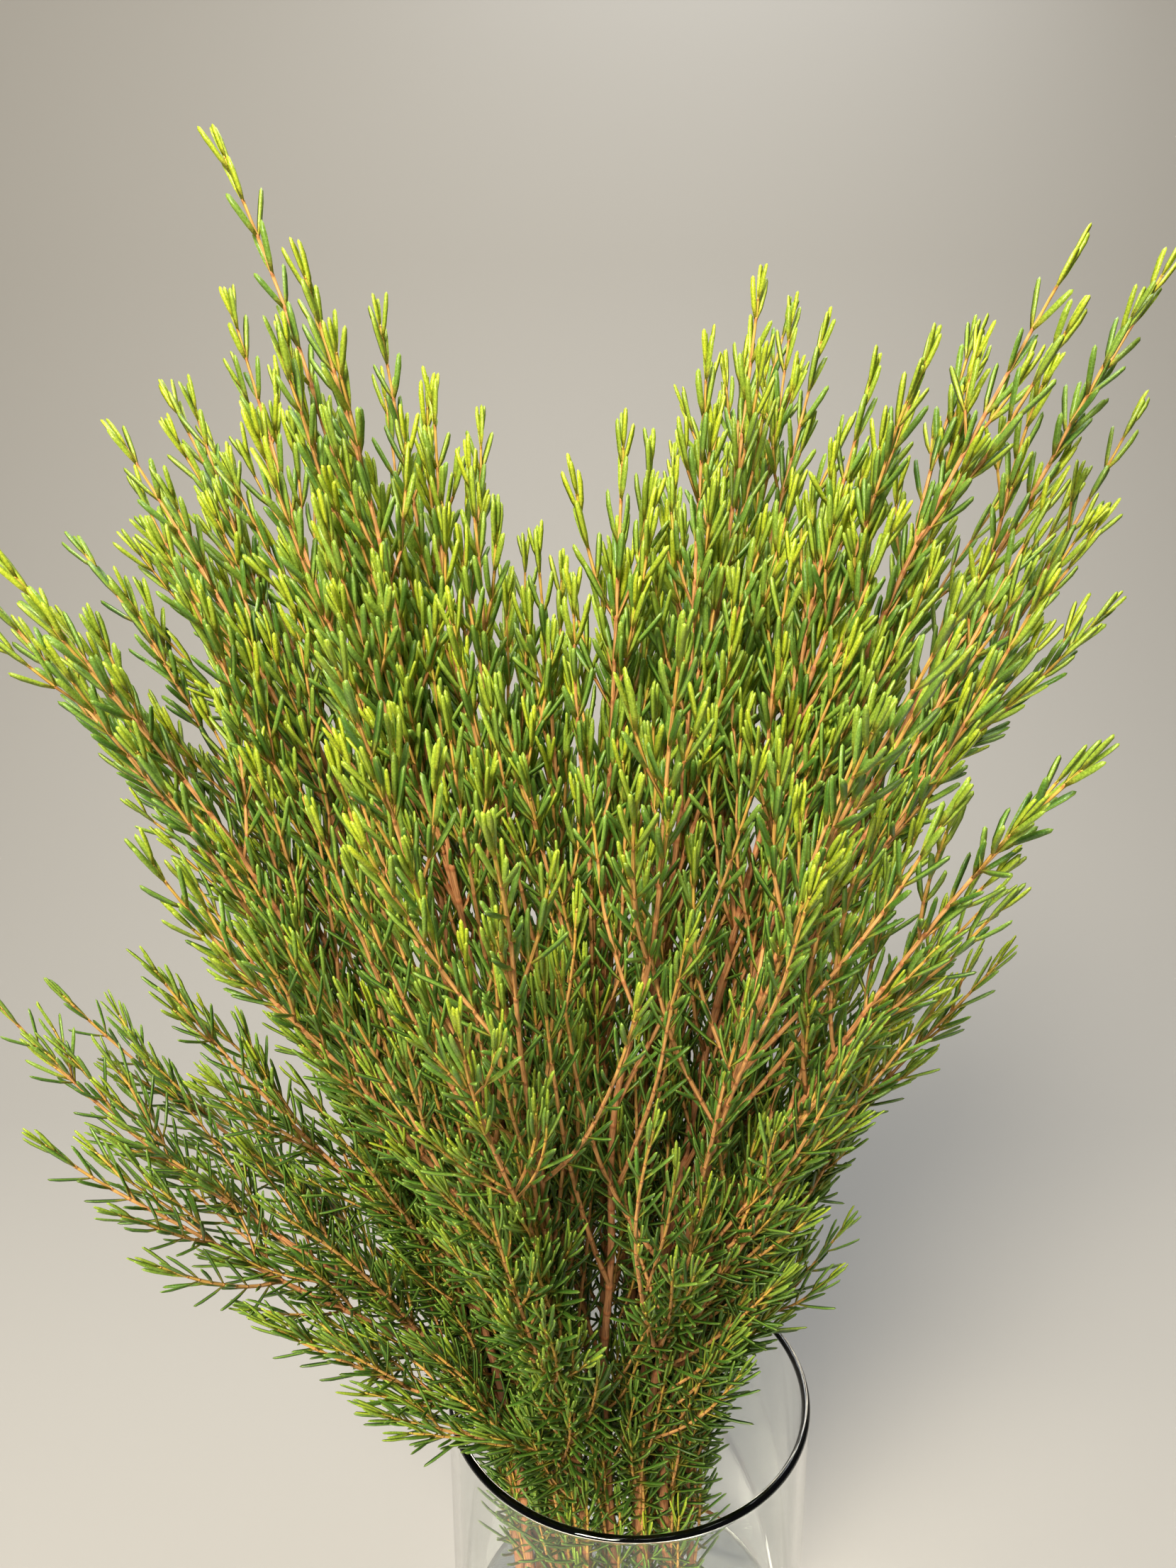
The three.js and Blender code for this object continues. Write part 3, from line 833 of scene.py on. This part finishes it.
def mesh_piece(name, vertices, faces, attributes):
    """A new piece from vertices in millimetres, faces of one size or padded with -1, and values."""
    mesh = bpy.data.meshes.new(name)
    sizes = (faces >= 0).sum(1)
    mesh.vertices.add(len(vertices))
    mesh.vertices.foreach_set("co", (vertices * MM).astype(np.float32).ravel())
    mesh.loops.add(int(sizes.sum()))
    mesh.loops.foreach_set("vertex_index", faces[faces >= 0].astype(np.int32))
    mesh.polygons.add(len(faces))
    starts = np.concatenate([[0], np.cumsum(sizes)[:-1]])
    mesh.polygons.foreach_set("loop_start", starts.astype(np.int32))
    mesh.update(calc_edges=True)
    mesh.validate()
    mesh.polygons.foreach_set("use_smooth", np.ones(len(mesh.polygons), bool))
    for title, values in attributes.items():
        kind = "FLOAT" if values.ndim == 1 else "FLOAT_VECTOR"
        layer = mesh.attributes.new(title, kind, "POINT")
        layer.data.foreach_set("value" if values.ndim == 1 else "vector", values.astype(np.float32).ravel())
    piece = bpy.data.objects.new(name, mesh)
    bpy.context.scene.collection.objects.link(piece)
    return piece


def limb_wood(limb):
    """One limb as a tube of rings with closed ends, with each vertex's age, joint count and grain."""
    marks, radius, joint = ring_plan(limb)
    places, axes = limb.at(marks)
    sides = SIDES[limb.rank]
    reference = np.eye(3)[np.argmin(np.abs(axes.mean(0)))]
    first = unit(np.cross(axes, reference))
    second = np.cross(axes, first)
    turns = np.arange(sides) * math.tau / sides
    around = first[:, None] * np.cos(turns)[None, :, None] + second[:, None] * np.sin(turns)[None, :, None]
    rings = places[:, None] + around * radius[:, None, None]
    count = len(marks)
    corner = np.arange(count * sides).reshape(count, sides)
    beside = np.roll(corner, -1, axis=1)
    walls = np.stack([corner[:-1], beside[:-1], beside[1:], corner[1:]], -1).reshape(-1, 4)
    faces = np.full((len(walls) + 2, max(4, sides)), -1)
    faces[:-2, :4] = walls
    faces[-2, :sides] = corner[0, ::-1]
    faces[-1, :sides] = corner[-1]
    age = np.repeat(np.clip((limb.length - marks) / OLD_WOOD, 0, 1) ** 0.55, sides)
    grain = np.stack([
        np.tile(np.cos(turns), count) * np.repeat(radius, sides),
        np.tile(np.sin(turns), count) * np.repeat(radius, sides),
        np.repeat(marks, sides)], -1)
    return rings.reshape(-1, 3), faces, {"age": age, "joint": np.repeat(joint, sides), "grain": grain}


def joined(parts):
    """Several meshes as one: their vertices, faces and values end to end."""
    widest = max(faces.shape[1] for _, faces, _ in parts)
    offset = 0
    all_faces = []
    for vertices, faces, _ in parts:
        padded = np.full((len(faces), widest), -1)
        padded[:, : faces.shape[1]] = np.where(faces >= 0, faces + offset, -1)
        all_faces.append(padded)
        offset += len(vertices)
    values = {title: np.concatenate([part[2][title] for part in parts]) for title in parts[0][2]}
    return np.concatenate([part[0] for part in parts]), np.concatenate(all_faces), values


def add_node(tree, kind, settings=None, stops=(), **links):
    """A new node with its settings. A link's value is a socket, or a plain value for its input.

    A colour ramp also takes its stops, as pairs of place and sRGB hex."""
    node = tree.nodes.new(kind)
    for setting, value in (settings or {}).items():
        setattr(node, setting, value)
    for name, value in links.items():
        socket = node.inputs[int(name[1:])] if name[1:].isdigit() else node.inputs[name.replace("_", " ")]
        if isinstance(value, bpy.types.NodeSocket):
            tree.links.new(value, socket)
        else:
            socket.default_value = value
    for k, (place, colour) in enumerate(stops):
        stop = node.color_ramp.elements[k] if k < 2 else node.color_ramp.elements.new(place)
        stop.position = place
        stop.color = linear(colour)
    return node


# Waxflower bark: smooth green-yellow skin on the new wood, then thin papery tan bark that cracks along
# the grain. The cracks are about 0.4 mm apart. It is matt, with a faint shine where it is young.
bark, tree, shader = new_material("waxflower_bark")
age = add_node(tree, "ShaderNodeAttribute", {"attribute_name": "age"})
joint = add_node(tree, "ShaderNodeAttribute", {"attribute_name": "joint"})
grain = add_node(tree, "ShaderNodeAttribute", {"attribute_name": "grain"})
skin = add_node(
    tree, "ShaderNodeValToRGB", Fac=age.outputs["Fac"],
    stops=[(0, "#CECB50"), (1, "#BE8C62"), (0.18, "#E2BC5C"), (0.36, "#E6B674"), (0.7, "#DAA26C")])
lengthwise = add_node(
    tree, "ShaderNodeMapping", {"vector_type": "POINT"},
    Vector=grain.outputs["Vector"], Scale=(2.4, 2.4, 0.16))
streaks = add_node(tree, "ShaderNodeTexNoise", Vector=lengthwise.outputs["Vector"], Scale=1.0, Detail=5.0)
cracks = add_node(
    tree, "ShaderNodeValToRGB", Fac=streaks.outputs["Fac"],
    stops=[(0.36, "#83634A"), (0.64, "#FFFBF5"), (0.5, "#E4D0BA")])
streaked = add_node(
    tree, "ShaderNodeMix", {"data_type": "RGBA", "blend_type": "MULTIPLY"},
    Factor=0.68, _6=skin.outputs["Color"], _7=cracks.outputs["Color"])
past = add_node(tree, "ShaderNodeMath", {"operation": "FRACT"}, _0=joint.outputs["Fac"])
centred = add_node(tree, "ShaderNodeMath", {"operation": "SUBTRACT"}, _0=past.outputs[0], _1=0.5)
nearness = add_node(tree, "ShaderNodeMath", {"operation": "ABSOLUTE"}, _0=centred.outputs[0])
ring = add_node(
    tree, "ShaderNodeMapRange", Value=nearness.outputs[0], From_Min=0.4, From_Max=0.48, To_Max=0.75)
ringed = add_node(
    tree, "ShaderNodeMix", {"data_type": "RGBA"},
    _0=ring.outputs[0], _6=streaked.outputs[2], _7=linear("#AE6A40"))
raised = add_node(
    tree, "ShaderNodeMath", {"operation": "MULTIPLY_ADD"},
    _0=ring.outputs[0], _1=1.5, _2=streaks.outputs["Fac"])
relief = add_node(tree, "ShaderNodeBump", Height=raised.outputs[0], Strength=0.6, Distance=0.0003)
tree.links.new(ringed.outputs[2], shader.inputs["Base Color"])
tree.links.new(relief.outputs["Normal"], shader.inputs["Normal"])
shader.inputs["Roughness"].default_value = 0.6
shader.inputs["Specular IOR Level"].default_value = 0.35

for index in range(len(STEMS)):
    number = f"{index + 1:02d}"
    parts = [limb_wood(limb) for limb in limbs if limb.stem == index]
    wood = mesh_piece(f"stem_{number}_wood", *joined(parts))
    wood.data.materials.append(bark)
    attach(wood, "root")
    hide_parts(f"leafy_stem_{number}")


# ---- Leaves ----
# Each leaf is a soft needle with a three-sided section: flat towards the twig, keeled behind, narrow at
# its stalk, widest past its middle and blunt at its tip. One is modelled, and all are copies of it.
# Those in the crown are longer and broader than those lower down.
HIGH_TILT = 23
LOW_TILT = 43
NECK_TILT = 52
TIP_TILT = 14
TOP_FROM = 430
TOP_WHOLE = 560
TOP_LENGTHEN = 0.12
TOP_WIDEN = 0.5
LOW_LENGTHEN = 0.12
NECK_LENGTHEN = 0.24
LOW_NARROW = 0.14
YOUNG_LENGTH = 0.74
LENGTH_GAIN = 0.26
LONG_PAST = 9
LENGTH_SHARES = (0.84, 1.12)
YOUNG_WIDTH = 0.78
WIDTH_GAIN = 0.22
WIDE_PAST = 12
WIDTH_SHARES = (0.9, 1.1)
TURN_SCATTER = 0.16
SPREAD_PAST = 28
TILT_SCATTER = 4.5
TILT_RANGE = (4, 95)
CURL = 0.09
CURL_SCATTER = 0.05
LOW_CURL = 0.04
SEATED = 0.45
NEWEST = 0.1
AGE_ALONG = 0.4
# How much darker the leaves low in the bunch are painted, as painted shade.
LOW_SHADE = 0.5
LOW_SHADE_SHARES = (0.4, 0.6)
OLD_PAST = 40
AGE_SCATTER = 0.07
LEAF_BORE = 70.8
LEAF_ROOM = 2
BLANK_RINGS = {0.0: (0.42, 0.5), 0.3: (0.92, 0.92), 0.72: (1.0, 1.0), 0.94: (0.72, 0.74)}
CONE_WIDTH = 3 ** 0.5 / 2
CONE_DEPTH = 0.75

deselect()
bpy.ops.mesh.primitive_cone_add(
    vertices=3, radius1=0.5, radius2=0, depth=1, end_fill_type="NGON", location=(0, 0, 0.5))
blank = bpy.context.object
blank.name = "leaf_blank"
bpy.ops.object.transform_apply(location=True, rotation=True, scale=True)
bpy.ops.object.mode_set(mode="EDIT")
for height in list(BLANK_RINGS)[1:]:
    bpy.ops.mesh.select_all(action="SELECT")
    bpy.ops.mesh.bisect(plane_co=(0, 0, height), plane_no=(0, 0, 1))
for height, (width, depth) in BLANK_RINGS.items():
    pick(blank, "VERT", lambda co, level=height: abs(co.z - level) < 0.01)
    grown_wide = width / CONE_WIDTH / (1 - height)
    grown_deep = depth / CONE_DEPTH / (1 - height)
    bpy.ops.transform.resize(value=(grown_wide, grown_deep, 1), center_override=(0, 0, height))
bpy.ops.object.mode_set(mode="OBJECT")
blank_places = np.array([v.co for v in blank.data.vertices])
blank_faces = np.array([[*face.vertices, -1][:4] for face in blank.data.polygons])
turn_of = np.degrees(np.arctan2(blank_places[:, 1], blank_places[:, 0]))
on_axis = np.hypot(blank_places[:, 0], blank_places[:, 1]) < 0.05
corner_of = np.round((turn_of - turn_of[~on_axis][0]) / 120).astype(int) % 3
blank_edges = np.where(on_axis[:, None], 1 / 3, np.eye(3)[corner_of])
bpy.data.objects.remove(blank)


def limb_leaves(limb):
    """Root, direction and the rest for each leaf on a limb, one row a leaf."""
    random = limb.random
    from_tip = np.repeat(limb.pairs, 2)
    count = len(from_tip)
    places, axes = limb.at(limb.length - from_tip)
    reference = np.eye(3)[np.argmin(np.abs(axes.mean(0)))]
    first = unit(np.cross(axes, reference))
    second = np.cross(axes, first)
    pair = np.repeat(np.arange(count // 2), 2)
    side = np.tile([0, 1], count // 2)
    azimuth = random.uniform(0, math.tau) + math.pi / 2 * pair + math.pi * side
    azimuth = azimuth + random.normal(0, TURN_SCATTER, count)
    aside = first * np.cos(azimuth)[:, None] + second * np.sin(azimuth)[:, None]
    high = height_share(places[:, 2])
    topmost = smooth((places[:, 2] - TOP_FROM) / (TOP_WHOLE - TOP_FROM))
    widest = NECK_TILT + 0 * high if limb.rank == 4 else LOW_TILT + (HIGH_TILT - LOW_TILT) * high
    tilt = TIP_TILT + (widest - TIP_TILT) * smooth(from_tip / SPREAD_PAST)
    tilt = np.radians(np.clip(tilt + random.normal(0, TILT_SCATTER, count), *TILT_RANGE))
    direction = axes * np.cos(tilt)[:, None] + aside * np.sin(tilt)[:, None]
    grown_long = YOUNG_LENGTH + LENGTH_GAIN * smooth((from_tip + 1) / LONG_PAST)
    length = LEAF_LENGTH * grown_long * random.uniform(*LENGTH_SHARES, count)
    lengthen = NECK_LENGTHEN if limb.rank == 4 else LOW_LENGTHEN
    length = length * (1 + lengthen * (1 - high) + TOP_LENGTHEN * topmost)
    filled_out = YOUNG_WIDTH + WIDTH_GAIN * smooth(from_tip / WIDE_PAST)
    width = LEAF_WIDTH * random.uniform(*WIDTH_SHARES, count) * filled_out
    width = width * (1 - LOW_NARROW * (1 - high) + TOP_WIDEN * topmost)
    curl = random.normal(CURL, CURL_SCATTER, count) + LOW_CURL * (1 - high)
    toward_tip = unit(axes - direction * (axes * direction).sum(1)[:, None])
    root = places + aside * limb.radius(limb.length - from_tip)[:, None] * SEATED
    # Painted shade: leaves low in the bunch get a darker green that stands in for the shade of the leaves
    # above them. The rest of the value is their real age along the twig.
    at_tip, further_in = LOW_SHADE_SHARES
    painted_low_shade = LOW_SHADE * (1 - high) * (at_tip + further_in * smooth(from_tip / (OLD_PAST / 2)))
    age = NEWEST + AGE_ALONG * smooth(from_tip / OLD_PAST) + painted_low_shade
    age = age + random.normal(0, AGE_SCATTER)
    return {"root": root, "direction": direction, "across": np.cross(direction, aside), "length": length,
            "width": width, "curl": curl, "toward": toward_tip, "age": age,
            "tint": random.uniform(0, 1, count)}


def leaf_meshes(rows):
    """Copies of the blank, one a row, each turned, sized and bent to its place."""
    across = unit(rows["across"])
    inward = np.cross(across, rows["direction"])
    along = blank_places[:, 2]
    run = (rows["length"][:, None] * along)[..., None]
    centre = rows["root"][:, None] + rows["direction"][:, None] * run
    bent = (rows["curl"] * rows["length"])[:, None] * along[None] ** 2
    centre = centre + rows["toward"][:, None] * bent[..., None]
    wide = blank_places[:, 0][None] * rows["width"][:, None]
    deep = blank_places[:, 1][None] * rows["width"][:, None] * (LEAF_THICKNESS / LEAF_WIDTH)
    places = centre + across[:, None] * wide[..., None] + inward[:, None] * deep[..., None]
    count, size = places.shape[:2]
    first_corner = (np.arange(count) * size)[:, None, None]
    faces = np.where(blank_faces[None] >= 0, blank_faces[None] + first_corner, -1)
    values = {
        "along": np.tile(along, count),
        "edges": np.tile(blank_edges, (count, 1)),
        "age": np.repeat(rows["age"], size),
        "tint": np.repeat(rows["tint"], size),
    }
    return places, faces.reshape(-1, 4), values


# Waxflower leaf: a firm, slightly waxy skin with a soft shine. It is lime when new and deepens to a
# dark leaf green, with a yellower stalk end, a paler tip and pale thin edges, which are partly its own
# margin and partly a painted highlight. Its oil glands are faint spots about 0.6 mm apart.
leaf_skin, tree, shader = new_material("waxflower_leaf")
age = add_node(tree, "ShaderNodeAttribute", {"attribute_name": "age"})
tint = add_node(tree, "ShaderNodeAttribute", {"attribute_name": "tint"})
along = add_node(tree, "ShaderNodeAttribute", {"attribute_name": "along"})
edges = add_node(tree, "ShaderNodeAttribute", {"attribute_name": "edges"})
# The age value also carries painted shade, so leaves low in the bunch come out darker green.
varied = add_node(
    tree, "ShaderNodeMath", {"operation": "MULTIPLY_ADD"},
    _0=tint.outputs["Fac"], _1=0.24, _2=age.outputs["Fac"])
shifted = add_node(tree, "ShaderNodeMath", {"operation": "SUBTRACT"}, _0=varied.outputs[0], _1=0.12)
green = add_node(
    tree, "ShaderNodeValToRGB", Fac=shifted.outputs[0],
    stops=[(0, "#C6D632"), (1, "#355A1A"), (0.2, "#A2BC38"), (0.45, "#7EA642"), (0.7, "#54822C")])
stalk = add_node(
    tree, "ShaderNodeMapRange", Value=along.outputs["Fac"], From_Min=0.34, From_Max=0.0, To_Max=0.85)
yellowed = add_node(
    tree, "ShaderNodeMix", {"data_type": "RGBA"},
    _0=stalk.outputs[0], _6=green.outputs["Color"], _7=linear("#E6CC50"))
corner = add_node(tree, "ShaderNodeSeparateXYZ", Vector=edges.outputs["Vector"])
first_two = add_node(
    tree, "ShaderNodeMath", {"operation": "MAXIMUM"}, _0=corner.outputs[0], _1=corner.outputs[1])
nearest = add_node(
    tree, "ShaderNodeMath", {"operation": "MAXIMUM"}, _0=first_two.outputs[0], _1=corner.outputs[2])
# Painted highlight: the leaf's three corners are lightened. This is partly its own pale margin and partly a
# painted stand-in for the shine along its edges.
margin_highlight = add_node(
    tree, "ShaderNodeMapRange", Value=nearest.outputs[0], From_Min=0.72, From_Max=1.0, To_Max=0.42)
margin_highlighted = add_node(
    tree, "ShaderNodeMix", {"data_type": "RGBA"},
    _0=margin_highlight.outputs[0], _6=yellowed.outputs[2], _7=linear("#A4C24C"))
end = add_node(
    tree, "ShaderNodeMapRange", Value=along.outputs["Fac"], From_Min=0.86, From_Max=1.0, To_Max=0.25)
paled = add_node(
    tree, "ShaderNodeMix", {"data_type": "RGBA"},
    _0=end.outputs[0], _6=margin_highlighted.outputs[2], _7=linear("#BCD152"))
position = add_node(tree, "ShaderNodeTexCoord")
glands = add_node(
    tree, "ShaderNodeTexNoise", Vector=position.outputs["Object"], Scale=1700.0, Detail=2.0)
speckle = add_node(
    tree, "ShaderNodeValToRGB", Fac=glands.outputs["Fac"], stops=[(0.35, "#B4BCAE"), (0.65, "#FFFFFF")])
speckled = add_node(
    tree, "ShaderNodeMix", {"data_type": "RGBA", "blend_type": "MULTIPLY"},
    Factor=0.75, _6=paled.outputs[2], _7=speckle.outputs["Color"])
relief = add_node(tree, "ShaderNodeBump", Height=glands.outputs["Fac"], Strength=0.5, Distance=0.0002)
tree.links.new(speckled.outputs[2], shader.inputs["Base Color"])
tree.links.new(relief.outputs["Normal"], shader.inputs["Normal"])
shader.inputs["Roughness"].default_value = 0.38
shader.inputs["Specular IOR Level"].default_value = 0.5

for index in range(len(STEMS)):
    number = f"{index + 1:02d}"
    tables = [limb_leaves(limb) for limb in limbs if limb.stem == index]
    rows = {title: np.concatenate([table[title] for table in tables]) for title in tables[0]}
    places, _, _ = leaf_meshes(rows)
    low = places[..., 2] < RIM + LEAF_ROOM
    radius = np.hypot(places[..., 0], places[..., 1])
    kept = ~np.any(low & (radius > LEAF_BORE), axis=1)
    places, faces, values = leaf_meshes({title: column[kept] for title, column in rows.items()})
    leaves = mesh_piece(f"stem_{number}_leaves", places.reshape(-1, 3), faces, values)
    leaves.data.materials.append(leaf_skin)
    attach(leaves, "root")
    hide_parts(f"leafy_stem_{number}")
